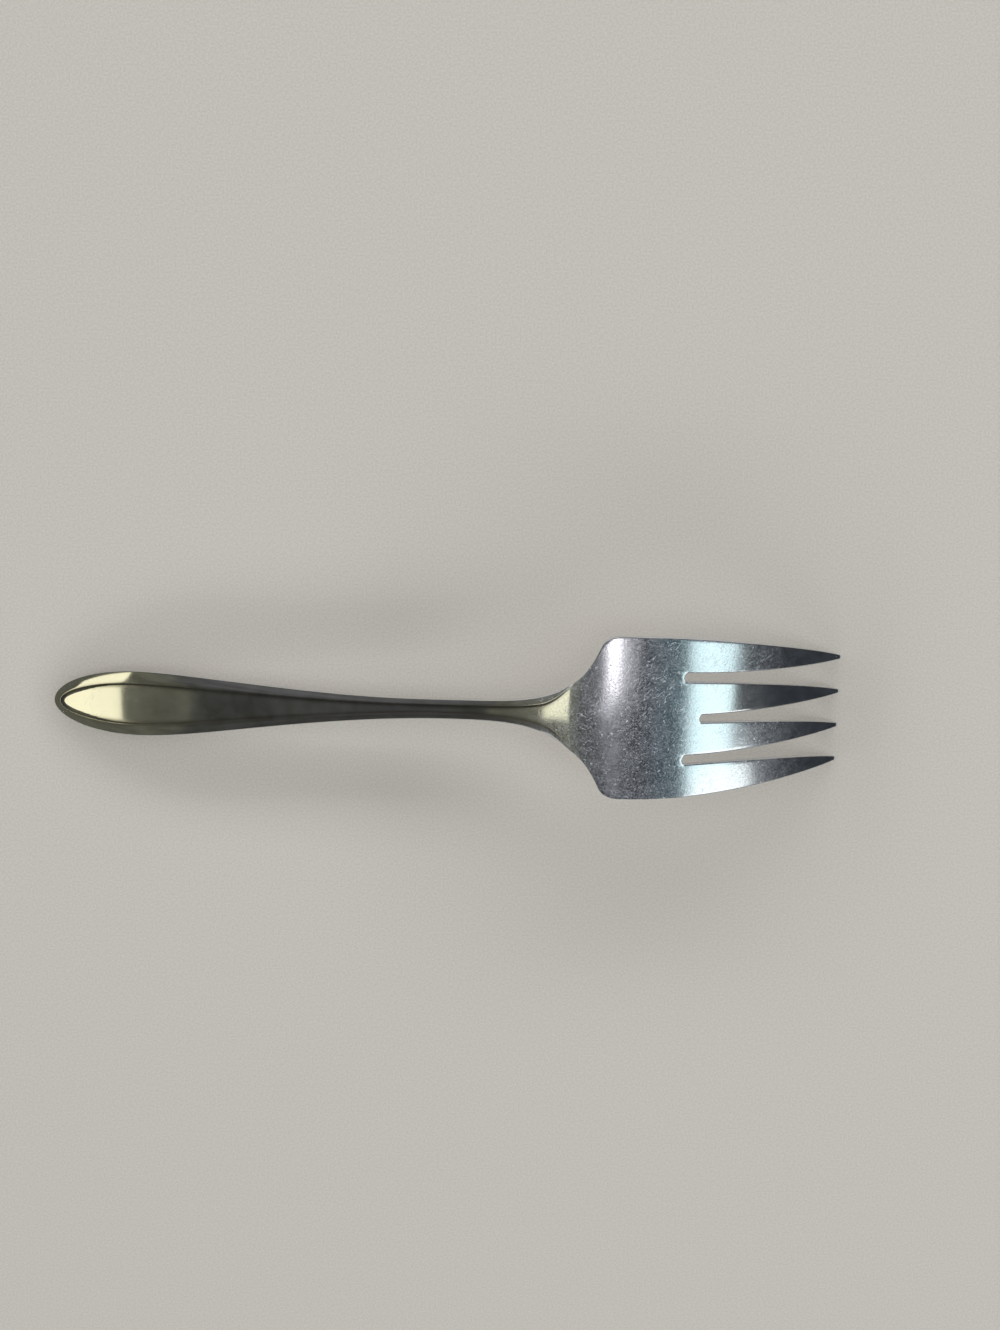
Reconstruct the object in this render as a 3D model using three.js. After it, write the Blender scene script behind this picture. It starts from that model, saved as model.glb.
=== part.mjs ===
// A luncheon fork laid face down, so that its back is up and its nose and tine tips touch the table.
// The real fork is one bent blank. Its sections are separate solids that meet on flat cross-sections.
// X runs from the nose of the handle to the tine tips, Y across the fork and Z up.
import * as THREE from 'three';
import { mergeVertices } from 'three/addons/utils/BufferGeometryUtils.js';

// Lengths along the fork, seen from above, in millimetres
const END_LENGTH = 18;          // nose to the widest place of the handle
const HANDLE_LENGTH = 50;       // widest place to the shank
const SHANK_LENGTH = 28;        // slim stretch with the bare stamping panel
const SHOULDER_LENGTH = 22;     // shank to the end of the rounded corners
const PALM_LENGTH = 12;         // corners to the roots of the outer slots
const TINE_LENGTH = 34.5;       // roots of the outer slots to the tips
const WAIST_SETBACK = 13.8;     // narrowest place, before the end of the shank
const CORNER_LENGTH = 4.4;      // rounded corner at the end of the shoulder
const MIDDLE_WEB = 3.3;         // how much later the middle slot starts
const WEB_ROUND = 0.4;          // rounding at the root of the middle slot
const HEEL_SETBACK = 3;         // highest place, after the start of the palm

// Widths across the fork
const HANDLE_WIDTH = 13.7;
const WAIST_WIDTH = 4.22;
const PALM_WIDTH = 32.9;
const CORNER_INSET = 2.3;       // what the rounded corner takes off each side
const INNER_TINE_WIDTH = 6.7;   // at the root
const ROOT_INSET = 0.3;         // how much the head has narrowed on each side at the roots
const MIDDLE_SLOT = 1.5;
const OUTER_SLOT = 1.85;
const TIP_PITCH = 7.2;
const TIP_WIDTH = 0.6;
const TAPER_START = 1.6;        // how late a tine begins to narrow
const TAPER_END = 0.75;         // how blunt its point is

// Reach of the smooth outline from each of its stations
const WIDEST_REACH = 13.8;
const WAIST_REACH = 28.3;
const NECK_REACH = 17.2;
const FLANK_RUN = 5;            // lean of the shoulder where it meets the corner
const FLANK_RISE = 12;

// Heights of the lower face above the table, and the reach of its curves
const NOSE_RUN = 14.5;          // straight slope from the nose
const NOSE_RISE = 2.55;
const ARCH_HEIGHT = 4.2;        // under the level stretch of the handle
const HEEL_HEIGHT = 13.6;       // under the heel of the head
const LEVEL_AFTER = 18;         // the level stretch starts this far after the widest place
const LEVEL_INTO = 4;           // and ends this far into the shank
const ARCH_START_REACH = 6;
const ARCH_END_REACH = 9;
const NECK_TOP_SETBACK = 12.8;  // the steep neck ends this far before the heel
const NECK_TOP_DROP = 1.5;      // and this far below it
const NECK_SLOPE = 0.48;
const NECK_START_REACH = 18;
const NECK_END_REACH = 12;
const HEEL_START_REACH = 2.8;
const HEEL_END_REACH = 3;
const HEEL_REACH = 16;
const TIP_RUN = 14;             // lean of the tines at their tips
const TIP_RISE = 7;

// Thickness of the blank
const END_THICKNESS = 2;
const WAIST_THICKNESS = 3;
const PALM_THICKNESS = 2;
const TIP_THICKNESS = 1.1;

// Relief: a bevelled border round a sunk panel on the handle, a crowned head with rounded edges
const BAND_AT_WIDEST = 2.45;    // edge to the crest of the border
const BAND_AT_WAIST = 1;
const NOSE_BAND = 0.65;         // share of the border's width that is left at the nose
const BAND_DROP = 0.65;         // crest down to the edge, on the back
const FRONT_DROP = 0.27;        // the same on the front
const PANEL_WALL = 0.45;        // crest to the sunk panel
const PANEL_DEPTH = 0.18;
const BORDER_FADE = 7;          // the border sinks away over this stretch of the shoulder
const BORDER_END = 4;           // and is gone this far before the corner
const HEAD_CROWN = 0.4;         // how much lower the sides of the palm are than its middle
const NECK_CROWN = 0.35;        // how much lower the flanks of the neck are than its ridge
const RIDGE_SPREAD = 5;         // half of that is reached this far from the ridge
const RIDGE_INTO = 9;           // the ridge is clearest this far into the shoulder
const EDGE_ROUND = 0.6;
const EDGE_DROP = 0.3;
const SLOT_EDGE_FADE = 4;       // the rounded slot edges grow in over this stretch of a tine

// How finely the solids are divided
const END_ARCS = 24;
const HANDLE_ROWS = 22;
const SHANK_ROWS = 12;
const SHOULDER_ROWS = 20;
const PALM_ROWS = 6;
const TINE_ROWS = 14;
const TIP_CROWDING = 1.4;       // rows of a tine stand closer towards its tip
const PANEL_STEPS = 3;          // from the edge of the sunk panel to the middle line
const HALVINGS = 40;

// Worn silver plate
const SILVER = { color: 0xb7b8b4, metalness: 1, roughness: 0.28 };

// Places along the fork
const widestX = END_LENGTH;
const shankX = widestX + HANDLE_LENGTH;
const shoulderX = shankX + SHANK_LENGTH;
const palmX = shoulderX + SHOULDER_LENGTH;
const rootX = palmX + PALM_LENGTH;
const tipX = rootX + TINE_LENGTH;
const waistX = shoulderX - WAIST_SETBACK;
const cornerX = palmX - CORNER_LENGTH;
const heelX = palmX + HEEL_SETBACK;
const borderEndX = cornerX - BORDER_END;
const ridgeX = shoulderX + RIDGE_INTO;
const levelX = widestX + LEVEL_AFTER;
const neckX = shankX + LEVEL_INTO;
const neckTopX = heelX - NECK_TOP_SETBACK;
const neckTopZ = HEEL_HEIGHT - NECK_TOP_DROP;

// Half widths that several pieces share
const handleHalf = HANDLE_WIDTH / 2;
const waistHalf = WAIST_WIDTH / 2;
const palmHalf = PALM_WIDTH / 2;
const cornerHalf = palmHalf - CORNER_INSET;
const innerTineFrom = MIDDLE_SLOT / 2;
const innerTineTo = innerTineFrom + INNER_TINE_WIDTH;
const outerTineFrom = innerTineTo + OUTER_SLOT;
const rootHalf = palmHalf - ROOT_INSET;
const innerTipY = TIP_PITCH / 2;
const outerTipY = innerTipY + TIP_PITCH;

const { lerp, inverseLerp, smoothstep, clamp } = THREE.MathUtils;
const point = (x, y) => new THREE.Vector2(x, y);

// Outline of one side, as curves that run steadily along X
const outline = [
  new THREE.CubicBezierCurve(
    point(widestX, handleHalf), point(widestX + WIDEST_REACH, handleHalf),
    point(waistX - WAIST_REACH, waistHalf), point(waistX, waistHalf)),
  new THREE.CubicBezierCurve(
    point(waistX, waistHalf), point(waistX + NECK_REACH, waistHalf),
    point(cornerX - FLANK_RUN, cornerHalf - FLANK_RISE), point(cornerX, cornerHalf)),
  new THREE.QuadraticBezierCurve(
    point(cornerX, cornerHalf), point(cornerX + CORNER_INSET * FLANK_RUN / FLANK_RISE, palmHalf),
    point(palmX, palmHalf)),
  new THREE.QuadraticBezierCurve(
    point(palmX, palmHalf), point((palmX + rootX) / 2, palmHalf), point(rootX, rootHalf)),
];

// Lower face on the middle line. The bevelled rim of the nose and the tips touch the table.
const noseSlope = NOSE_RISE / NOSE_RUN;
const slopeAt = (x) => point(x, noseSlope * x - FRONT_DROP);
const neckAt = (x) => point(x, neckTopZ + NECK_SLOPE * (x - neckTopX));
const lowerLine = [
  new THREE.LineCurve(slopeAt(0), slopeAt(NOSE_RUN)),
  new THREE.CubicBezierCurve(
    slopeAt(NOSE_RUN), slopeAt(NOSE_RUN + ARCH_START_REACH),
    point(levelX - ARCH_END_REACH, ARCH_HEIGHT), point(levelX, ARCH_HEIGHT)),
  new THREE.LineCurve(point(levelX, ARCH_HEIGHT), point(neckX, ARCH_HEIGHT)),
  new THREE.CubicBezierCurve(
    point(neckX, ARCH_HEIGHT), point(neckX + NECK_START_REACH, ARCH_HEIGHT),
    neckAt(neckTopX - NECK_END_REACH), neckAt(neckTopX)),
  new THREE.CubicBezierCurve(
    neckAt(neckTopX), neckAt(neckTopX + HEEL_START_REACH),
    point(heelX - HEEL_END_REACH, HEEL_HEIGHT), point(heelX, HEEL_HEIGHT)),
  new THREE.CubicBezierCurve(
    point(heelX, HEEL_HEIGHT), point(heelX + HEEL_REACH, HEEL_HEIGHT),
    point(tipX - TIP_RUN, TIP_RISE), point(tipX, 0)),
];

// Place and direction of a chain of curves at a given X, found by halving
function follow(chain, x) {
  const curve = chain.find((piece) => x <= piece.getPoint(1).x) ?? chain.at(-1);
  let low = 0;
  let high = 1;
  for (let step = 0; step < HALVINGS; step += 1) {
    const middle = (low + high) / 2;
    if (curve.getPoint(middle).x < x) low = middle;
    else high = middle;
  }
  return { height: curve.getPoint(high).y, direction: curve.getTangent(high) };
}

const halfWidth = (x) => follow(outline, x).height;

function thickness(x) {
  if (x <= waistX) return lerp(END_THICKNESS, WAIST_THICKNESS, smoothstep(x, widestX, waistX));
  if (x <= heelX) return lerp(WAIST_THICKNESS, PALM_THICKNESS, smoothstep(x, waistX, heelX));
  return lerp(PALM_THICKNESS, TIP_THICKNESS, (x - heelX) / (tipX - heelX));
}

// How much of the handle's border is left, from 1 on the handle to 0 on the head
const borderShare = (x) => 1 - smoothstep(x, borderEndX - BORDER_FADE, borderEndX);

// Width of the border band by how wide the handle is, down to the plain rounded edge of the head
function bandWidth(x, half) {
  const share = clamp((half - waistHalf) / (handleHalf - waistHalf), 0, 1);
  return lerp(EDGE_ROUND, lerp(BAND_AT_WAIST, BAND_AT_WIDEST, share), borderShare(x));
}

// Height of the back (side 1) or front (side 0) over the lower line, at a distance from the edge
function faceHeight(x, side, edge, band) {
  const border = borderShare(x);
  const bevel = Math.max(0, 1 - edge / band);
  const rounding = (1 - border) * EDGE_DROP * Math.max(0, 1 - edge / EDGE_ROUND);
  if (side === 0) return border * FRONT_DROP * bevel + rounding;
  const sunk = PANEL_DEPTH * clamp((edge - band) / PANEL_WALL, 0, 1);
  return thickness(x) - border * (BAND_DROP * bevel + sunk) - rounding;
}

// The crown across the head grows towards the heel and dies out at the tips. The neck has a soft ridge.
function crown(x, y) {
  const rise = smoothstep(x, waistX, heelX) * (1 - smoothstep(x, rootX, tipX));
  const ridge = smoothstep(x, waistX, ridgeX) * (1 - smoothstep(x, ridgeX, palmX));
  const flank = y ** 2 / (y ** 2 + RIDGE_SPREAD ** 2);
  return HEAD_CROWN * rise * (y / palmHalf) ** 2 + NECK_CROWN * ridge * flank;
}

// A point of the blank, set square to the bent lower line
function bent(x, y, height) {
  const { height: base, direction } = follow(lowerLine, x);
  const lift = height - crown(x, y);
  return new THREE.Vector3(x - lift * direction.y, y, base + lift * direction.x);
}

// A closed solid: a segmented box whose points are sent to their place
function solid(name, rows, columns, place, openSide) {
  const box = new THREE.BoxGeometry(1, 1, 1, rows, columns, 1);
  const spots = box.getAttribute('position');
  const moved = new THREE.Vector3();
  for (let i = 0; i < spots.count; i += 1) {
    const row = Math.round((spots.getX(i) + 0.5) * rows);
    const column = Math.round((spots.getY(i) + 0.5) * columns);
    moved.copy(place(row, column, Math.round(spots.getZ(i) + 0.5)));
    spots.setXYZ(i, moved.x, moved.y, moved.z);
  }
  const sides = box.groups.filter((group) => group.materialIndex !== openSide);
  box.setIndex(sides.flatMap(({ start, count }) => [...box.index.array.slice(start, start + count)]));
  box.clearGroups();
  box.deleteAttribute('normal');
  box.deleteAttribute('uv');
  const geometry = mergeVertices(box);
  geometry.computeVertexNormals();
  const mesh = new THREE.Mesh(geometry, new THREE.MeshStandardMaterial(SILVER));
  mesh.name = name;
  return mesh;
}

// Distances in from the edge: border band, wall, then even steps over the panel to the middle line
const INSETS = 2 + PANEL_STEPS;
function inset(index, half, band) {
  const panel = Math.min(band + PANEL_WALL, half);
  if (index <= 2) return [0, Math.min(band, half), panel][index];
  return lerp(panel, half, (index - 2) / PANEL_STEPS);
}

// The rounded end of the handle: rings inside a half ellipse, closed along its middle line
function handleEnd(name) {
  const spineSide = 2;
  return solid(name, END_ARCS, INSETS, (row, column, side) => {
    const angle = Math.PI * (0.5 - row / END_ARCS);
    const edge = inset(column, handleHalf, BAND_AT_WIDEST);
    const x = END_LENGTH - (END_LENGTH - NOSE_BAND * edge) * Math.cos(angle);
    const y = column === INSETS ? 0 : (handleHalf - edge) * Math.sin(angle);
    return bent(x, y, faceHeight(x, side, edge, BAND_AT_WIDEST));
  }, spineSide);
}

// A stretch of the handle or shoulder between two places
function stretch(name, fromX, toX, rows) {
  return solid(name, rows, 2 * INSETS, (row, column, side) => {
    const x = lerp(fromX, toX, row / rows);
    const half = halfWidth(x);
    const band = bandWidth(x, half);
    const edge = inset(Math.min(column, 2 * INSETS - column), half, band);
    const y = Math.sign(column - INSETS) * (half - edge);
    return bent(x, y, faceHeight(x, side, edge, band));
  });
}

// Places across a tine: its edges, the start of their rounding and its middle
const TINE_COLUMNS = 4;
function across(from, to, round) {
  return [from, from + round, (from + to) / 2, to - round, to];
}

// The palm takes its columns from the tines that grow out of it
const halfColumns = [
  ...across(innerTineFrom, innerTineTo, EDGE_ROUND),
  ...across(outerTineFrom, rootHalf, EDGE_ROUND),
];
const palmColumns = [...halfColumns.toReversed().map((y) => -y), ...halfColumns];

function palm(name) {
  return solid(name, PALM_ROWS, palmColumns.length - 1, (row, column, side) => {
    const x = lerp(palmX, rootX, row / PALM_ROWS);
    const half = halfWidth(x);
    const y = palmColumns[column] * half / rootHalf;
    return bent(x, y, faceHeight(x, side, half - Math.abs(y), EDGE_ROUND));
  });
}

// Rows of a tine: its root, the rounded root of the middle slot, then closer and closer to the tip
const slotX = rootX + MIDDLE_WEB;
const slotOpenX = slotX + WEB_ROUND;
const tineRows = [rootX, slotX, slotX + WEB_ROUND / 4, slotOpenX];
for (let row = 1; row <= TINE_ROWS; row += 1) {
  tineRows.push(lerp(tipX, slotOpenX, (1 - row / TINE_ROWS) ** TIP_CROWDING));
}

// How far the middle slot has opened at a place along the tines, from 0 to 1, as a quarter round
function slotOpening(x) {
  const short = 1 - clamp((x - slotX) / WEB_ROUND, 0, 1);
  return Math.sqrt(1 - short ** 2);
}

// A tine between its two root edges, narrowing to its tip. The inner pair meet in a web at the middle line.
function tine(name, from, to, tipY, sign) {
  const inner = from === innerTineFrom;
  return solid(name, tineRows.length - 1, TINE_COLUMNS, (row, column, side) => {
    const x = tineRows[row];
    const along = inverseLerp(rootX, tipX, x);
    const width = lerp(TIP_WIDTH, to - from, (1 - along ** TAPER_START) ** TAPER_END);
    const centre = lerp((from + to) / 2, tipY, along);
    const low = (centre - width / 2) * (inner ? slotOpening(x) : 1);
    const high = centre + width / 2;
    const round = Math.min(EDGE_ROUND, width / TINE_COLUMNS);
    const y = across(low, high, round)[sign > 0 ? column : TINE_COLUMNS - column];
    const grown = smoothstep(x, rootX, rootX + SLOT_EDGE_FADE);
    const slotEdge = lerp(EDGE_ROUND, Math.min(y - low, high - y), grown);
    const edge = inner ? slotEdge : Math.min(high - y, slotEdge);
    return bent(x, sign * y, faceHeight(x, side, edge * EDGE_ROUND / round, EDGE_ROUND));
  });
}

const fork = new THREE.Group();
fork.add(handleEnd('handle_end'));
fork.add(stretch('handle', widestX, shankX, HANDLE_ROWS));
fork.add(stretch('shank', shankX, shoulderX, SHANK_ROWS));
fork.add(stretch('shoulder', shoulderX, palmX, SHOULDER_ROWS));
fork.add(palm('palm'));
fork.add(tine('tine_1', outerTineFrom, rootHalf, outerTipY, 1));
fork.add(tine('tine_2', innerTineFrom, innerTineTo, innerTipY, 1));
fork.add(tine('tine_3', innerTineFrom, innerTineTo, innerTipY, -1));
fork.add(tine('tine_4', outerTineFrom, rootHalf, outerTipY, -1));

// The origin is under the middle of the fork, on the table
const box = new THREE.Box3().setFromObject(fork);
fork.position.set(-(box.min.x + box.max.x) / 2, 0, -box.min.z);

export default fork;
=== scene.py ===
import math
from functools import lru_cache, reduce

import bmesh
import bpy
from mathutils import Matrix, Vector


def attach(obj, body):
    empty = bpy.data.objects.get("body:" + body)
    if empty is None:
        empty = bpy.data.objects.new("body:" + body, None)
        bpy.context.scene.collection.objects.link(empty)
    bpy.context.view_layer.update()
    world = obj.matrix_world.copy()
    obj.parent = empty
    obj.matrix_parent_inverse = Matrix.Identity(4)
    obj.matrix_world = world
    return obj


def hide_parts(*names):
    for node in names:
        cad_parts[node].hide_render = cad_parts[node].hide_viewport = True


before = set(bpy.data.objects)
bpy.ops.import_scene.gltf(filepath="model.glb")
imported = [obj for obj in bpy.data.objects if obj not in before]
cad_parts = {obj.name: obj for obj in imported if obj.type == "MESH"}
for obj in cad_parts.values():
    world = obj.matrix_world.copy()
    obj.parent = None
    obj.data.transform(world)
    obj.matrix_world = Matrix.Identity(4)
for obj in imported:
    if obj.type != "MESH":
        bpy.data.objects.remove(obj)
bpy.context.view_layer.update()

# A silver-plated luncheon fork that lies face down, its back up. Shapes are worked out in millimetres
# from the nose of the handle and then set into the frame in metres.
MM = 0.001
NOSE_AT = Vector((-82.379, 0.0, 0.004))

# Places along the fork
WIDEST = 18.0
SHANK = 68.0
WAIST = 82.2
SHOULDER = 96.0
RIDGE = 105.0
BORDER_END = 109.6
CORNER = 113.6
PALM = 118.0
HEEL = 121.0
ROOT = 130.0
MIDDLE_ROOT = 133.3
TIP = 164.5

# Half widths across the fork
HANDLE_HALF = 6.85
WAIST_HALF = 2.11
CORNER_HALF = 14.15
PALM_HALF = 16.45
ROOT_HALF = 16.15
INNER_TINE = (0.75, 7.45)
OUTER_TINE = (9.3, ROOT_HALF)
INNER_TIP = 3.6
OUTER_TIP = 10.8
TIP_WIDTH = 0.6
TAPER_START = 1.6
TAPER_END = 0.75

# Reach of the outline's curves from its stations, and the lean of the shoulders
WIDEST_REACH = 13.8
WAIST_REACH = 28.3
NECK_REACH = 17.2
FLANK_RUN = 5.0
FLANK_RISE = 12.0

# Heights of the lower face over the table, and the reach of its curves
NOSE_RUN = 14.5
NOSE_RISE = 2.55
ARCH = 4.2
ARCH_START_REACH = 6.0
ARCH_END_REACH = 9.0
LEVEL = (36.0, 72.0)
NECK_START_REACH = 18.0
NECK_END_REACH = 12.0
NECK_TOP = (108.2, 12.1)
NECK_SLOPE = 0.48
HEEL_HEIGHT = 13.6
HEEL_START_REACH = 2.8
HEEL_END_REACH = 3.0
HEEL_REACH = 16.0
TIP_RUN = 14.0
TIP_RISE = 7.0

# Thickness of the blank
END_THICK = 2.0
WAIST_THICK = 3.0
PALM_THICK = 1.99
TIP_THICK = 1.1
TAPER_SOFT = 0.08

# Relief of the handle: a bevelled band round a sunk panel. At the nose the band is straight and the
# panel dished.
BAND_AT_WIDEST = 2.45
BAND_AT_WAIST = 1.0
NOSE_BAND = 0.65
BAND_DROP = 0.65
BAND_CURVE = 1.25
BAND_CURVE_FROM = (2.0, 9.0)
FRONT_DROP = 0.27
PANEL_WALL = 0.5
PANEL_DEPTH = 0.2
NOSE_WALL = 1.4
NOSE_DISH = (3.0, 13.0)
BORDER_FADE = 7.0

# Relief of the head and roundness of the edges
HEAD_CROWN = 0.4
NECK_CROWN = 0.35
RIDGE_SPREAD = 5.0
RIM_ROUND = 0.25
EDGE_ROUND = 0.3
LIP_WIDTH = 0.8
LIP_DROP = 0.05
LIP_FADE = (138.0, 152.0)
SLOT_END = 0.65
MIDDLE_SLOT_END = 0.4
TIP_ROUND = 0.6
TIP_BLUNT = 0.97

# Largest shares that roundings, panel and lips take where the fork is thin or narrow
ROUND_OF_TINE = 0.25
ROUND_OF_THICKNESS = 0.42
PANEL_OF_HALF = 0.9
LIP_OF_TINE = 0.35

# The tines lie in lanes between these lines, from tine_1 to tine_4
SLOT_MIDDLE = (INNER_TINE[1] + OUTER_TINE[0]) / 2
PAST_HEAD = PALM_HALF + 1.0
LANES = (PAST_HEAD, SLOT_MIDDLE, 0.0, -SLOT_MIDDLE, -PAST_HEAD)

# The worn haze of the head, which also carries a painted cool sheen in its colour, starts in the neck and
# fades along the tines, on each of them to its own end
HAZE_START = (93.0, 110.0)
HAZE_FADE = 20.0
HAZE_ENDS = (157.0, 150.0, 160.0, 160.0)

# Tarnish is darkest at this share of the panel's wall
RECESS_AT = 0.7

# Columns from an edge of the fork to its middle line, which change over from border to tines
ROUND_STEPS = [1 - math.cos(math.radians(turn)) for turn in (0, 30, 60, 90)]
BAND_STEPS = (0.2, 0.4, 0.6, 0.78, 0.9, 1.0)
WALL_STEPS = (0.25, 0.5, 0.75, 1.0)
TINE_STEPS = (0.25, 0.5, 0.75)
SLOT_STEPS = (0.96, 0.82, 0.5, 0.18, 0.04)
MIDDLE_SLOT_STEPS = (0.9, 0.6, 0.0)
TINE_COLUMNS = 2 * len(ROUND_STEPS) + 2 + len(TINE_STEPS)
OUTER_SLOT_COLUMNS = range(TINE_COLUMNS - 1, TINE_COLUMNS + len(SLOT_STEPS))
INNER_TINE_END = 2 * TINE_COLUMNS + len(SLOT_STEPS) - 1
MIDDLE_SLOT_COLUMNS = range(INNER_TINE_END, INNER_TINE_END + len(MIDDLE_SLOT_STEPS))
COLUMNS = INNER_TINE_END + len(MIDDLE_SLOT_STEPS)
PANEL_STEPS = COLUMNS + 1 - len(ROUND_STEPS) - len(BAND_STEPS) - len(WALL_STEPS)
COLUMN_CHANGE = (BORDER_END, ROOT - 2.0)
NOSE_ARCS = 48

# How exactly places are searched for, surfaces felt, vertices merged and cut, and roundings told apart
HALVINGS = 40
PROBE = 0.02
MERGE = 1e-4
CUT_NEAR = 1e-3
TINY = 1e-6
PAST_ROUND = 0.95


def mix(start, end, share):
    return start + (end - start) * share


def ease(x, start, end):
    """Smooth change from 0 at start to 1 at end."""
    share = min(max((x - start) / (end - start), 0.0), 1.0)
    return share * share * (3 - 2 * share)


def nose_slope(x):
    return (x, NOSE_RISE / NOSE_RUN * x - FRONT_DROP)


def neck_slope(x):
    return (x, NECK_TOP[1] + NECK_SLOPE * (x - NECK_TOP[0]))


# Half width along the fork, and the lower face on its middle line, as chains of curves
CORNER_TURN = CORNER + (PALM_HALF - CORNER_HALF) * FLANK_RUN / FLANK_RISE
OUTLINE = (
    ((WIDEST, HANDLE_HALF), (WIDEST + WIDEST_REACH, HANDLE_HALF),
     (WAIST - WAIST_REACH, WAIST_HALF), (WAIST, WAIST_HALF)),
    ((WAIST, WAIST_HALF), (WAIST + NECK_REACH, WAIST_HALF),
     (CORNER - FLANK_RUN, CORNER_HALF - FLANK_RISE), (CORNER, CORNER_HALF)),
    ((CORNER, CORNER_HALF), (CORNER_TURN, PALM_HALF), (PALM, PALM_HALF)),
    ((PALM, PALM_HALF), ((PALM + ROOT) / 2, PALM_HALF), (ROOT, ROOT_HALF)),
)
LOWER_LINE = (
    (nose_slope(0.0), nose_slope(NOSE_RUN)),
    (nose_slope(NOSE_RUN), nose_slope(NOSE_RUN + ARCH_START_REACH),
     (LEVEL[0] - ARCH_END_REACH, ARCH), (LEVEL[0], ARCH)),
    ((LEVEL[0], ARCH), (LEVEL[1], ARCH)),
    ((LEVEL[1], ARCH), (LEVEL[1] + NECK_START_REACH, ARCH),
     neck_slope(NECK_TOP[0] - NECK_END_REACH), NECK_TOP),
    (NECK_TOP, neck_slope(NECK_TOP[0] + HEEL_START_REACH),
     (HEEL - HEEL_END_REACH, HEEL_HEIGHT), (HEEL, HEEL_HEIGHT)),
    ((HEEL, HEEL_HEIGHT), (HEEL + HEEL_REACH, HEEL_HEIGHT), (TIP - TIP_RUN, TIP_RISE), (TIP, 0.0)),
)


def on_curve(points, share):
    """Place and direction at a share of a Bezier curve."""
    points = [Vector(point) for point in points]
    while len(points) > 2:
        points = [start.lerp(end, share) for start, end in zip(points, points[1:])]
    start, end = points
    return start.lerp(end, share), (end - start).normalized()


@lru_cache(maxsize=None)
def follow(chain, x):
    """Height and direction of a chain of curves at a place along the fork."""
    points = next((curve for curve in chain if x <= curve[-1][0]), chain[-1])
    low, high = 0.0, 1.0
    for _ in range(HALVINGS):
        middle = (low + high) / 2
        if on_curve(points, middle)[0].x < x:
            low = middle
        else:
            high = middle
    place, direction = on_curve(points, high)
    return place.y, direction


def half_width(x):
    return follow(OUTLINE, min(x, ROOT))[0]


def thickness(x):
    if x <= WAIST:
        return mix(END_THICK, WAIST_THICK, ease(x, WIDEST, WAIST))
    if x <= HEEL:
        return mix(WAIST_THICK, PALM_THICK, ease(x, WAIST, HEEL))
    share = math.hypot((x - HEEL) / (TIP - HEEL), TAPER_SOFT) - TAPER_SOFT
    return mix(PALM_THICK, TIP_THICK, share)


def border_share(x):
    """1 where the handle has its full border, 0 on the head."""
    return 1 - ease(x, BORDER_END - BORDER_FADE, BORDER_END)


def head_share(x):
    """0 where the columns follow the border, 1 where they follow the tines."""
    return ease(x, *COLUMN_CHANGE)


def tip_share(x):
    """1 along a tine, falling round its point."""
    past = min(max((x - TIP + TIP_ROUND) / TIP_ROUND, 0.0), TIP_BLUNT)
    return math.sqrt(1 - past * past)


def band_width(x):
    share = min(max((half_width(x) - WAIST_HALF) / (HANDLE_HALF - WAIST_HALF), 0.0), 1.0)
    return mix(EDGE_ROUND, mix(BAND_AT_WAIST, BAND_AT_WIDEST, share), border_share(x))


@lru_cache(maxsize=None)
def tine_sides(x):
    """Low and high side of the outer and the inner tine; before the roots, where they will grow."""
    if x <= ROOT:
        spread = half_width(x) / ROOT_HALF
        return [side * spread for side in (*OUTER_TINE, *INNER_TINE)]
    share = (x - ROOT) / (TIP - ROOT)
    sides = []
    for (low, high), tip in ((OUTER_TINE, OUTER_TIP), (INNER_TINE, INNER_TIP)):
        width = mix(TIP_WIDTH, high - low, (1 - share ** TAPER_START) ** TAPER_END) * tip_share(x)
        middle = mix((low + high) / 2, tip, share)
        sides += [middle - width / 2, middle + width / 2]
    return sides


@lru_cache(maxsize=None)
def edge_round(x):
    """Radius of the rounded edges."""
    low, high, inner_low, inner_high = tine_sides(x)
    narrow = min(high - low, inner_high - inner_low) * ROUND_OF_TINE
    return min(mix(RIM_ROUND, EDGE_ROUND, head_share(x)), narrow, thickness(x) * ROUND_OF_THICKNESS)


def border_columns(x):
    """Distances in from the edge: rounding, border band, wall and panel."""
    half, band, rim = half_width(x), band_width(x), edge_round(x)
    panel = min(band + PANEL_WALL, half * PANEL_OF_HALF)
    columns = [rim * step for step in ROUND_STEPS]
    columns += [mix(rim, band, step) for step in BAND_STEPS]
    columns += [mix(band, panel, step) for step in WALL_STEPS]
    return columns + [mix(panel, half, step / PANEL_STEPS) for step in range(1, PANEL_STEPS + 1)]


def across_tine(low, high, rim):
    """Places across one tine: rounding, lip, middle, lip and rounding."""
    lip = min(LIP_WIDTH, (high - low) * LIP_OF_TINE)
    columns = [high - rim * step for step in ROUND_STEPS]
    columns += [mix(high - lip, low + lip, step) for step in (0.0, *TINE_STEPS, 1.0)]
    return columns + [low + rim * step for step in reversed(ROUND_STEPS)]


def head_columns(x):
    """Places across one side of the head: outer tine, slot, inner tine and half the middle slot."""
    low, high, inner_low, inner_high = tine_sides(x)
    rim = edge_round(x)
    columns = across_tine(low, high, rim)
    columns += [mix(inner_high, low, step) for step in SLOT_STEPS]
    columns += across_tine(inner_low, inner_high, rim)
    return columns + [inner_low * step for step in MIDDLE_SLOT_STEPS]


@lru_cache(maxsize=None)
def side_columns(x):
    """Places across one side of the fork, from its edge to the middle line."""
    share = head_share(x)
    if share >= 1:
        return head_columns(x)
    half = half_width(x)
    border = [half - distance for distance in border_columns(x)]
    if share <= 0:
        return border
    return [mix(start, end, share) for start, end in zip(border, head_columns(x))]


def rows_between(start, end, count):
    return [mix(start, end, row / count) for row in range(count)]


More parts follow.
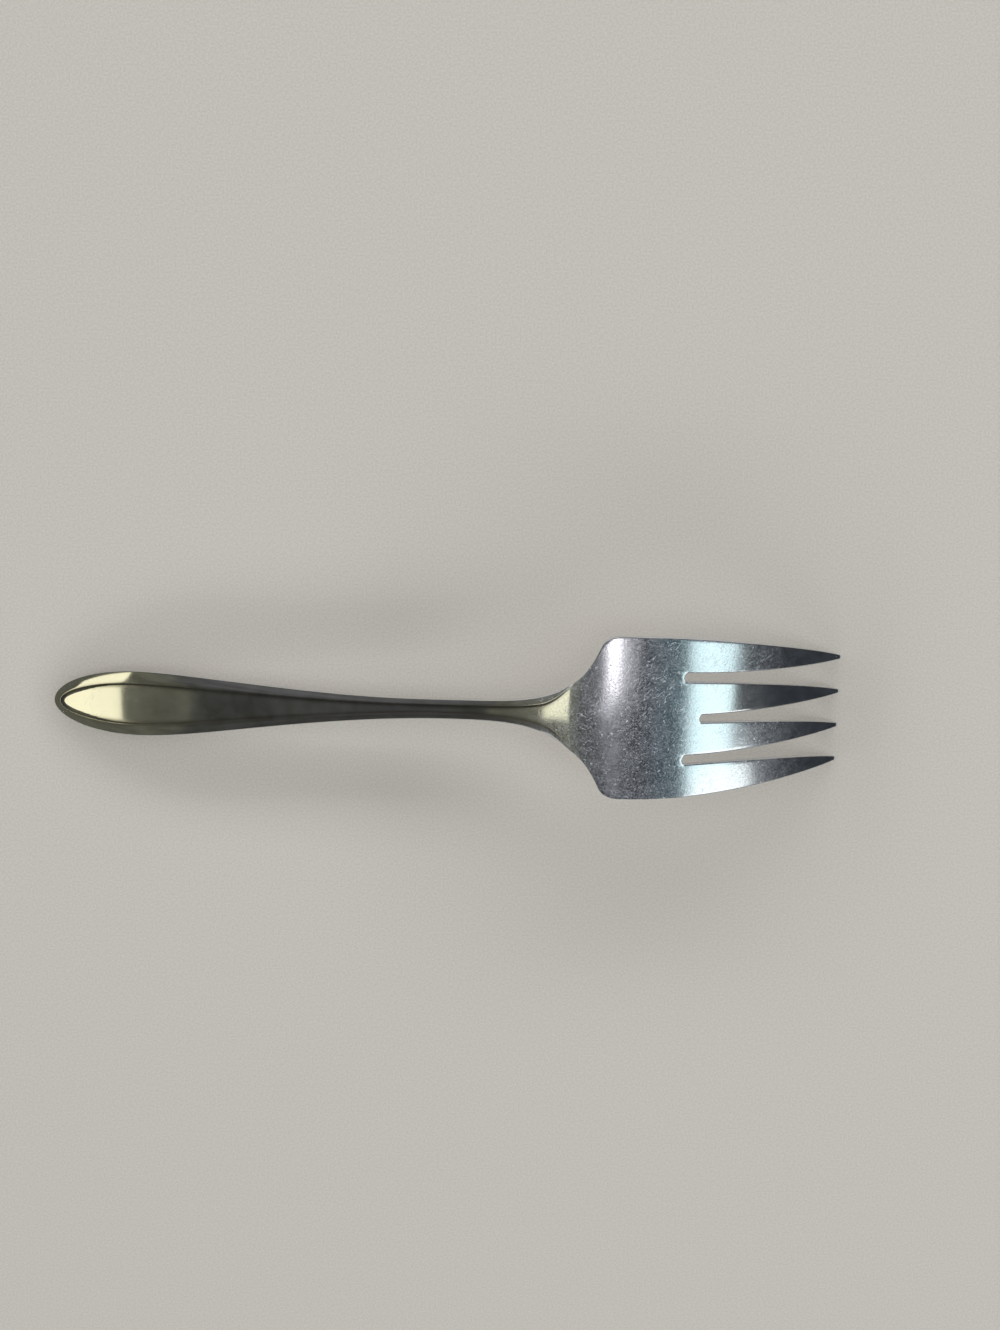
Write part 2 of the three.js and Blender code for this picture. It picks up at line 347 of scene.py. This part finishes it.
# Rows from the widest place to the tips. Each stretch has its number of rows, and the last five rows
# before a slot run round its end.
OUTER_OPEN = ROOT + SLOT_END
MIDDLE_OPEN = MIDDLE_ROOT + MIDDLE_SLOT_END
PALM_ROWS_END = ROOT - 0.9
WEB_ROWS_END = MIDDLE_OPEN - 1.7
STRETCHES = (
    (WIDEST, SHANK, 46),
    (SHANK, SHOULDER, 28),
    (SHOULDER, BORDER_END, 18),
    (BORDER_END, PALM, 24),
    (PALM, PALM_ROWS_END, 12),
)
WEB_STEPS = (0.5, 1.0)
TINE_ROWS = 46
TIP_CROWDING = 1.35
SLOT_ROWS = [LIP_WIDTH, *(EDGE_ROUND * step for step in reversed(ROUND_STEPS))]
ROWS = [row for stretch in STRETCHES for row in rows_between(*stretch)]
OUTER_ROWS = range(len(ROWS), len(ROWS) + len(SLOT_ROWS))
ROWS += [OUTER_OPEN - back for back in SLOT_ROWS]
ROWS += [mix(OUTER_OPEN, WEB_ROWS_END, step) for step in WEB_STEPS]
MIDDLE_ROWS = range(len(ROWS), len(ROWS) + len(SLOT_ROWS))
ROWS += [MIDDLE_OPEN - back for back in SLOT_ROWS]
ROWS += [mix(TIP, MIDDLE_OPEN, (1 - row / TINE_ROWS) ** TIP_CROWDING) for row in range(1, TINE_ROWS + 1)]


def outer_dip(x, y):
    """How far the rounded end of an outer slot reaches back at a place across it."""
    low, _, _, inner_high = tine_sides(x)
    off = (2 * y - low - inner_high) / (low - inner_high)
    return SLOT_END * math.sqrt(max(1 - off * off, 0.0))


def middle_dip(x, y):
    """The same for the middle slot."""
    off = y / tine_sides(x)[2]
    return MIDDLE_SLOT_END * math.sqrt(max(1 - off * off, 0.0))


def nose_distance(x, y):
    """Inset of the ring of the nose that runs through a place."""
    low, high = 0.0, HANDLE_HALF - TINY
    for _ in range(HALVINGS):
        inset = (low + high) / 2
        along = (WIDEST - x) / (WIDEST - NOSE_BAND * inset)
        if along ** 2 + (y / (HANDLE_HALF - inset)) ** 2 < 1:
            low = inset
        else:
            high = inset
    return low


def slot_distance(x, y, half, opening, reach):
    """How far a place lies outside a slot with a rounded end, y being taken from its middle line."""
    back = max(opening - x, 0.0)
    past = math.hypot(back / reach, y / half)
    return math.hypot(back, y) * (1 - 1 / max(past, 1.0))


def edge_distance(x, y):
    """How far a place of the blank lies from the nearest edge, slots included."""
    if x < WIDEST:
        return nose_distance(x, y)
    low, high, inner_low, inner_high = tine_sides(x)
    outer_slot = slot_distance(x, y - (low + inner_high) / 2, (low - inner_high) / 2, OUTER_OPEN, SLOT_END)
    middle_slot = slot_distance(x, y, inner_low, MIDDLE_OPEN, MIDDLE_SLOT_END)
    outside = (high if x > ROOT else half_width(x)) - y
    return max(min(outside, outer_slot, middle_slot), 0.0)


def rounding(distance, radius):
    """Drop of a rounded edge at a distance in from it."""
    short = 1 - min(distance / radius, 1.0)
    return radius * (1 - math.sqrt(1 - short * short))


def panel_wall(x):
    """Width of the wall of the sunk panel, which is dished at the nose."""
    return mix(NOSE_WALL, PANEL_WALL, ease(x, *NOSE_DISH))


def nose_share(x, edge):
    """How far the edge faces along the fork: 1 at the tip of the nose, 0 on the handle's sides."""
    along = min(max((WIDEST - x) / (WIDEST - NOSE_BAND * edge), 0.0), 1.0)
    end, side = along / WIDEST, math.sqrt(1 - along * along) / HANDLE_HALF
    return end * end / (end * end + side * side)


def back_height(x, edge):
    """Height of the back over the lower line: band and sunk panel on the handle, soft lips on the head."""
    band = band_width(x)
    drop = BAND_DROP * mix(1.0, NOSE_BAND, nose_share(x, edge))
    curve = mix(1.0, BAND_CURVE, ease(x, *BAND_CURVE_FROM))
    bevel = drop * max(0.0, 1 - edge / band) ** curve
    sunk = PANEL_DEPTH * ease(edge, band, band + panel_wall(x))
    lip = LIP_DROP * max(0.0, 1 - edge / LIP_WIDTH) ** 2 * (1 - ease(x, *LIP_FADE))
    return thickness(x) - mix(lip, bevel + sunk, border_share(x))


def front_height(x, edge):
    """Height of the front over the lower line: a slight bevel along the handle."""
    return border_share(x) * FRONT_DROP * max(0.0, 1 - edge / band_width(x))


def crown(x, y):
    """How much lower a place lies than the middle line: crowned head and ridged neck."""
    rise = ease(x, WAIST, HEEL) * (1 - ease(x, ROOT, TIP))
    ridge = ease(x, WAIST, RIDGE) * (1 - ease(x, RIDGE, PALM))
    flank = y ** 2 / (y ** 2 + RIDGE_SPREAD ** 2)
    return HEAD_CROWN * rise * (y / PALM_HALF) ** 2 + NECK_CROWN * ridge * flank


def wear_and_sheen(x, y):
    """How hazy the plate is, from 0 to 1; the same share tints it with a painted cool sheen."""
    end = next(end for end, right in zip(HAZE_ENDS, LANES[1:]) if y > right)
    return ease(x, *HAZE_START) * (1 - ease(x, end - HAZE_FADE, end))


def tarnish_share(x, edge):
    """How dark the tarnish at the foot of the border is, from 0 to 1."""
    off = (edge - band_width(x) - PANEL_WALL * RECESS_AT) / PANEL_WALL
    return border_share(x) * math.exp(-off * off)


def bent(x, y, height):
    """A place of the blank, set square to the bent lower line."""
    base, direction = follow(LOWER_LINE, x)
    lift = height - crown(x, y)
    return Vector((x - lift * direction.y, y, base + lift * direction.x))


def facing(x, y, height):
    """Direction that a side of the fork faces, its rounded edges left out."""
    along, across = (
        bent(x + dx, y + dy, height(x + dx, edge_distance(x + dx, abs(y + dy))))
        - bent(x - dx, y - dy, height(x - dx, edge_distance(x - dx, abs(y - dy))))
        for dx, dy in ((PROBE, 0.0), (0.0, PROBE)))
    return along.cross(across).normalized()


def grid(sheet, rows, columns):
    """A flat grid whose vertices come back by row and column."""
    made = bmesh.ops.create_grid(sheet, x_segments=rows, y_segments=columns, size=1.0)["verts"]
    spots = {}
    for vert in made:
        row = round((vert.co.x + 1) / 2 * rows)
        column = round((vert.co.y + 1) / 2 * columns)
        spots[row, column] = vert
    return spots


def lay_nose(sheet, edge):
    """The rounded end of the handle: rings inside a half ellipse that close on the middle line."""
    distances = border_columns(WIDEST)
    for (row, column), vert in grid(sheet, NOSE_ARCS, COLUMNS).items():
        turn = math.pi * (0.5 - row / NOSE_ARCS)
        inset = distances[column]
        across = 0.0 if column == COLUMNS else (HANDLE_HALF - inset) * math.sin(turn)
        vert.co = (WIDEST - (WIDEST - NOSE_BAND * inset) * math.cos(turn), across, 0.0)
        vert[edge] = inset


def slot_faces(spots, first_row, columns):
    """Faces of the flat grid that lie in a slot, on both sides of the middle line."""
    places = [*columns, *(2 * COLUMNS - column - 1 for column in columns)]
    faces = []
    for row in range(first_row, len(ROWS) - 1):
        for place in places:
            corners = {spots[row, place], spots[row + 1, place + 1]}
            faces += [face for face in spots[row, place].link_faces if corners <= set(face.verts)]
    return faces


def lay_length(sheet, edge):
    """Everything from the widest place to the tips, with the slots left out."""
    spots = grid(sheet, len(ROWS) - 1, 2 * COLUMNS)
    for (row, place), vert in spots.items():
        column = min(place, 2 * COLUMNS - place)
        x = ROWS[row]
        across = side_columns(x)[column]
        far = edge_distance(x, across)
        if row in OUTER_ROWS and column in OUTER_SLOT_COLUMNS:
            far = OUTER_OPEN - x
            x -= outer_dip(x, across)
        elif row in MIDDLE_ROWS and column in (*MIDDLE_SLOT_COLUMNS, COLUMNS):
            far = MIDDLE_OPEN - x
            x -= middle_dip(x, across)
        side = -1 if place < COLUMNS else 1
        vert.co = (x, side * across, 0.0)
        vert[edge] = far
    openings = slot_faces(spots, OUTER_ROWS[-1], OUTER_SLOT_COLUMNS)
    openings += slot_faces(spots, MIDDLE_ROWS[-1], MIDDLE_SLOT_COLUMNS)
    bmesh.ops.delete(sheet, geom=openings, context="FACES")


def fork_blank():
    """The whole fork as one closed skin."""
    blank = bmesh.new()
    edge, haze_and_sheen, recess = (blank.verts.layers.float.new(name) for name in ("edge", "haze_and_sheen", "recess"))
    whole = blank.verts.layers.float_vector.new("whole_normal")
    lay_nose(blank, edge)
    lay_length(blank, edge)
    bmesh.ops.remove_doubles(blank, verts=blank.verts[:], dist=MERGE)
    for face in blank.faces:
        face.smooth = True
    raised = bmesh.ops.extrude_face_region(blank, geom=blank.faces[:])["geom"]
    backs = {part for part in raised if isinstance(part, bmesh.types.BMVert)}
    for vert in blank.verts:
        x, y, _ = vert.co
        far = vert[edge]
        drop = rounding(far, edge_round(x))
        low, high = front_height(x, far) + drop, back_height(x, far) - drop
        shrink = (high - low) * (1 - tip_share(x)) / 2
        vert.co = bent(x, y, high - shrink if vert in backs else low + shrink)
        if far > PAST_ROUND * edge_round(x) and x < TIP - TIP_ROUND:
            vert[whole] = facing(x, y, back_height) if vert in backs else -facing(x, y, front_height)
        vert[haze_and_sheen] = wear_and_sheen(x, y)
        vert[recess] = tarnish_share(x, far)
    bmesh.ops.recalc_face_normals(blank, faces=blank.faces[:])
    blank.normal_update()
    for vert in blank.verts:
        if not vert[whole].length:
            vert[whole] = vert.normal
    return blank


def set_out(name, data):
    """An object that stands in the scene, at the origin until it is moved."""
    made = bpy.data.objects.new(name, data)
    bpy.context.collection.objects.link(made)
    return made


def section(blank, name, cuts):
    """The stretch of the fork behind each cut, closed, with the shading of the whole."""
    piece = blank.copy()
    for place, outwards in cuts:
        everything = piece.verts[:] + piece.edges[:] + piece.faces[:]
        bmesh.ops.bisect_plane(
            piece, geom=everything, dist=CUT_NEAR, plane_co=place, plane_no=outwards, clear_outer=True)
        bmesh.ops.edgeloop_fill(piece, edges=[line for line in piece.edges if line.is_boundary])
    into_frame = Matrix.Scale(MM, 4) @ Matrix.Translation(NOSE_AT)
    bmesh.ops.transform(piece, matrix=into_frame, verts=piece.verts[:])
    bmesh.ops.recalc_face_normals(piece, faces=piece.faces[:])
    mesh = bpy.data.meshes.new(name)
    piece.to_mesh(mesh)
    piece.free()
    whole = mesh.attributes["whole_normal"].data
    normals = [Vector() for _ in mesh.loops]
    for polygon in mesh.polygons:
        for corner in polygon.loop_indices:
            smooth = whole[mesh.loops[corner].vertex_index].vector
            normals[corner] = smooth if polygon.use_smooth else polygon.normal
    mesh.normals_split_custom_set(normals)
    mesh.attributes.remove(mesh.attributes["whole_normal"])
    return set_out("fork_" + name, mesh)


def cut_at(x, forwards):
    """A flat cut square to the blank, and the side that is taken off."""
    base, direction = follow(LOWER_LINE, x)
    outwards = Vector((direction.x, 0.0, direction.y))
    return Vector((x, 0.0, base)), outwards if forwards else -outwards


# Where the sections before the tines end
SECTION_ENDS = {
    "handle_end": WIDEST,
    "handle": SHANK,
    "shank": SHOULDER,
    "shoulder": PALM,
    "palm": OUTER_OPEN,
}


def fork_pieces():
    """The sections of the fork, by the CAD nodes that they replace."""
    blank = fork_blank()
    pieces = {}
    behind = []
    for node, end in SECTION_ENDS.items():
        pieces[node] = section(blank, node, [cut_at(end, True), *behind])
        behind = [cut_at(end, False)]
    across = Vector((0.0, 1.0, 0.0))
    for number, (left, right) in enumerate(zip(LANES, LANES[1:]), start=1):
        sides = [(across * left, across), (across * right, -across)]
        pieces[f"tine_{number}"] = section(blank, f"tine_{number}", behind + sides)
    blank.free()
    return pieces


class Shade:
    """A socket in a material's nodes. Arithmetic on it adds Math nodes."""

    def __init__(self, tree, socket=None):
        self.tree = tree
        self.socket = socket

    def node(self, kind, settings=None, inputs=None, output=0):
        made = self.tree.nodes.new(kind)
        for name, value in (settings or {}).items():
            setattr(made, name, value)
        for name, value in (inputs or {}).items():
            if isinstance(value, Shade):
                self.tree.links.new(value.socket, made.inputs[name])
            else:
                made.inputs[name].default_value = value
        return Shade(self.tree, made.outputs[output]) if made.outputs else made

    def math(self, operation, first, second):
        return self.node("ShaderNodeMath", {"operation": operation}, {0: first, 1: second})

    def __add__(self, other):
        return self.math("ADD", self, other)

    __radd__ = __add__

    def __sub__(self, other):
        return self.math("SUBTRACT", self, other)

    def __rsub__(self, other):
        return self.math("SUBTRACT", other, self)

    def __mul__(self, other):
        return self.math("MULTIPLY", self, other)

    __rmul__ = __mul__

    def least(self, other):
        return self.math("MINIMUM", self, other)

    def most(self, other):
        return self.math("MAXIMUM", self, other)

    def between(self, low, high):
        """0 below low, 1 above high, smooth in between."""
        settings = {"interpolation_type": "SMOOTHSTEP"}
        return self.node("ShaderNodeMapRange", settings, {"Value": self, "From Min": low, "From Max": high})

    def blend(self, first, second):
        """A colour between two others, by this value."""
        inputs = {0: self, 6: first, 7: second}
        return self.node("ShaderNodeMix", {"data_type": "RGBA"}, inputs, output=2)


def empty_nodes(owner):
    """The emptied nodes of a material or a world, ready to be added to."""
    owner.use_nodes = True
    owner.node_tree.nodes.clear()
    return Shade(owner.node_tree)


# Colours of the plate and the floor
BRIGHT_SILVER = (0.80, 0.79, 0.775, 1)
GREY_SILVER = (0.74, 0.745, 0.74, 1)
# The cool tint of the hazy silver is a painted cool sheen, standing in for the cool light that the worn
# head mirrors.
HAZY_SILVER_COOL_SHEEN = (0.73, 0.755, 0.785, 1)
TARNISH = (0.24, 0.22, 0.18, 1)
FLOOR_SHADE = (0.479, 0.449, 0.391, 1)
FLOOR_LIGHT = (0.559, 0.525, 0.461, 1)

# Kinds of scratches: turn in degrees, length, width, and the noise from which on they show
SCRATCHES = (
    (-48, 2.6, 0.09, 0.69),
    (-30, 2.2, 0.08, 0.70),
    (25, 2.4, 0.09, 0.72),
    (-80, 1.8, 0.08, 0.71),
)
SCRATCH_DEPTH = 25.0
SCRATCH_FADE = 0.08
BUMP_HEIGHT = 0.03
BUMP_STRENGTH = 0.3
ROUGHEST = 0.7


def silver_plate():
    """Worn silver plate: hairline scratches, pits, a haze on the head tinted with a painted cool sheen, and
    tarnish in the recesses.
    """
    material = bpy.data.materials.new("silver_plate")
    start = empty_nodes(material)
    place = start.node("ShaderNodeTexCoord", output="Object")

    def noise(scale, detail=2.0, roughness=0.5, at=place):
        inputs = {"Vector": at, "Scale": scale, "Detail": detail, "Roughness": roughness}
        return start.node("ShaderNodeTexNoise", inputs=inputs)

    def scratches(turn, length, width, least):
        """Straight fine lines at one angle; a higher least leaves fewer of them."""
        angle = (0, 0, math.radians(turn))
        turned = start.node("ShaderNodeMapping", inputs={"Vector": place, "Rotation": angle})
        spread = [1 / (size * MM) for size in (length, width, SCRATCH_DEPTH)]
        stretched = start.node("ShaderNodeMapping", inputs={"Vector": turned, "Scale": spread})
        return noise(1.0, 1.0, 0.4, stretched).between(least, least + SCRATCH_FADE)

    def attribute(name):
        return start.node("ShaderNodeAttribute", {"attribute_name": name}, output="Fac")

    haze_and_sheen = attribute("haze_and_sheen")
    recess = attribute("recess")
    lines = reduce(Shade.most, [scratches(*kind) for kind in SCRATCHES])
    lines = lines * noise(120, 2.0).between(0.42, 0.62)
    specks = noise(1600, 1.0).between(0.68, 0.74)
    fine = noise(2600, 2.0, 0.6).between(0.40, 0.70)
    mottle = noise(420, 2.0).between(0.35, 0.65)
    cloud = noise(70, 4.0, 0.6)
    patches = cloud.between(0.3, 0.7)
    tarnish = (recess * 0.75 + cloud.between(0.55, 0.8) * 0.2).least(1.0)
    # Where the plate is hazy its colour turns cool: a painted cool sheen for the light it mirrors.
    silver = haze_and_sheen.blend(patches.blend(BRIGHT_SILVER, GREY_SILVER), HAZY_SILVER_COOL_SHEEN)
    colour = tarnish.blend(silver, TARNISH)
    scatter = 0.006 + mottle * 0.012 + haze_and_sheen * (fine * 0.17 + mottle * 0.04 + patches * 0.03)
    scatter = scatter + lines * (0.03 + haze_and_sheen * 0.20) + haze_and_sheen * specks * 0.30
    rough = 0.065 + haze_and_sheen * (0.085 + fine * 0.04) + lines * (0.05 + haze_and_sheen * 0.10) + recess * 0.1
    relief = haze_and_sheen * (fine * 0.25 - specks * 0.4) - lines * (0.1 + haze_and_sheen * 0.4) + cloud * 0.5
    bump = start.node("ShaderNodeBump", inputs={
        "Strength": BUMP_STRENGTH, "Distance": BUMP_HEIGHT * MM, "Height": relief})
    shader = start.node("ShaderNodeBsdfPrincipled", inputs={
        "Base Color": colour, "Metallic": 1 - scatter, "Roughness": rough.least(ROUGHEST), "Normal": bump})
    start.node("ShaderNodeOutputMaterial", inputs={"Surface": shader})
    return material


def floor_finish():
    """A matt pale floor with a very fine grain."""
    material = bpy.data.materials.new("pale_floor")
    start = empty_nodes(material)
    place = start.node("ShaderNodeTexCoord", output="Object")
    grain = start.node("ShaderNodeTexNoise", inputs={"Vector": place, "Scale": 2600.0, "Detail": 3.0})
    colour = grain.between(0.3, 0.7).blend(FLOOR_SHADE, FLOOR_LIGHT)
    shader = start.node("ShaderNodeBsdfPrincipled", inputs={"Base Color": colour, "Roughness": 0.9})
    start.node("ShaderNodeOutputMaterial", inputs={"Surface": shader})
    return material


# Half of the length and width of the floor
FLOOR_HALF = 4000.0


def lay_floor():
    sheet = bmesh.new()
    bmesh.ops.create_grid(sheet, x_segments=1, y_segments=1, size=FLOOR_HALF * MM)
    mesh = bpy.data.meshes.new("floor")
    sheet.to_mesh(mesh)
    sheet.free()
    floor = set_out("floor", mesh)
    mesh.materials.append(floor_finish())


def softbox(name, place, size, glow, colour, mirrored=True):
    """A soft panel that shines straight down, in millimetres. A glow of 1 is white in a mirror."""
    lamp = bpy.data.lights.new(name, "AREA")
    lamp.shape = "RECTANGLE"
    lamp.size, lamp.size_y = size[0] * MM, size[1] * MM
    lamp.energy = glow * math.pi * lamp.size * lamp.size_y
    lamp.color = colour
    made = set_out(name, lamp)
    made.visible_glossy = mirrored
    made.matrix_world = Matrix.Translation(Vector(place) * MM)


# Colours that the plate mirrors, from the left to the right and then at the edges of the room
OLIVE = (0.1, 0.1, 0.072, 1)
UMBER = (0.046, 0.046, 0.04, 1)
VIOLET = (0.032, 0.031, 0.038, 1)
TEAL = (0.026, 0.072, 0.084, 1)
PALE_NEAR = (0.17, 0.175, 0.18, 1)
PALE_FAR = (0.095, 0.1, 0.105, 1)
SLATE = (0.024, 0.029, 0.036, 1)
GREY_FAR = (0.09, 0.09, 0.09, 1)
GREY_LOW = (0.1, 0.1, 0.1, 1)
DARK_NEAR = (0.04, 0.04, 0.036, 1)


def dim_room():
    """A dim room: olive on the left, then dark, teal and pale, and darkest far on the right."""
    world = bpy.data.worlds.new("dim_room")
    bpy.context.scene.world = world
    start = empty_nodes(world)
    direction = start.node("ShaderNodeTexCoord", output="Generated")
    right, far, height = (
        start.node("ShaderNodeSeparateXYZ", inputs={"Vector": direction}, output=axis) for axis in "XYZ")
    walls = right.between(-0.42, -0.34).blend(OLIVE, UMBER)
    walls = right.between(-0.3, 0.05).blend(walls, VIOLET)
    walls = right.between(0.1, 0.5).blend(walls, TEAL)
    pale = far.between(-0.45, -0.15).blend(PALE_NEAR, PALE_FAR)
    walls = right.between(0.5, 0.6).blend(walls, pale)
    walls = (right + far * 0.25).between(0.70, 0.84).blend(walls, SLATE)
    behind = far.between(0.15, 0.3) * right.between(-0.55, -0.15)
    walls = behind.blend(walls, GREY_FAR)
    walls = height.between(0.0, 0.28).blend(GREY_LOW, walls)
    walls = far.between(-0.95, -0.6).blend(DARK_NEAR, walls)
    clutter = start.node("ShaderNodeTexNoise", inputs={"Vector": direction, "Scale": 9.0, "Detail": 3.0})
    strength = 1 + (clutter.between(0.3, 0.7) * 0.6 - 0.3) * height.between(0.3, 0.6)
    light = start.node("ShaderNodeBackground", inputs={"Color": walls, "Strength": strength})
    start.node("ShaderNodeOutputWorld", inputs={"Surface": light})


def light_studio():
    """Panels that the back of the fork mirrors, and large ones that only light it and the floor."""
    dim_room()
    softbox("warm_panel", (-821, 65, 706), (364, 624), 1.12, (1.0, 0.95, 0.65))
    softbox("cool_panel", (644, -137, 712), (362, 349), 1.38, (0.78, 1.0, 1.0))
    softbox("white_panel", (763, -506, 712), (534, 388), 1.6, (0.95, 1.0, 0.98))
    softbox("overhead", (32, 10, 900), (90, 280), 3.0, (1.0, 0.95, 0.98))
    softbox("overhead_tail", (32, -250, 900), (80, 240), 0.16, (0.98, 0.94, 1.0))
    daylight = (0.96, 0.98, 1.06)
    softbox("key", (0, 350, 1200), (1600, 1600), 0.7, daylight, mirrored=False)
    softbox("far_fill", (0, 3600, 1000), (8000, 2000), 11.2, daylight, mirrored=False)
    softbox("near_fill", (0, -3600, 1000), (8000, 2000), 7.7, daylight, mirrored=False)
    softbox("left_fill", (-3600, 0, 1000), (2000, 5200), 9.1, daylight, mirrored=False)
    softbox("right_fill", (3600, 0, 1000), (2000, 5200), 9.1, daylight, mirrored=False)


# The camera stands over the fork's back, leaning a little towards its near side
CAMERA_AT = (12.65, 45.49, 228.21)
CAMERA_LEAN = 9.284
CAMERA_SIDE_LEAN = -0.348
CAMERA_ROLL = -0.505
SENSOR = 36.0
IMAGE_HEIGHT = 1330
FOCAL_PIXELS = 1100
NEAREST = 10.0


def set_camera():
    lean, side, roll = (math.radians(turn) for turn in (CAMERA_LEAN, CAMERA_SIDE_LEAN, CAMERA_ROLL))
    forwards = Vector((math.sin(side), -math.sin(lean), -math.cos(lean))).normalized()
    right = forwards.cross(Vector((math.sin(roll), math.cos(roll), 0.0))).normalized()
    upwards = right.cross(forwards)
    turn = Matrix((right, upwards, -forwards)).transposed().to_4x4()
    data = bpy.data.cameras.new("camera")
    data.sensor_width = SENSOR
    data.lens = SENSOR * FOCAL_PIXELS / IMAGE_HEIGHT
    data.clip_start = NEAREST * MM
    camera = set_out("camera", data)
    camera.matrix_world = Matrix.Translation(Vector(CAMERA_AT) * MM) @ turn
    bpy.context.scene.camera = camera


bpy.context.scene.view_settings.view_transform = "Standard"
set_camera()
plate = silver_plate()
for node, piece in fork_pieces().items():
    piece.data.materials.append(plate)
    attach(piece, "root")
    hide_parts(node)
lay_floor()
light_studio()
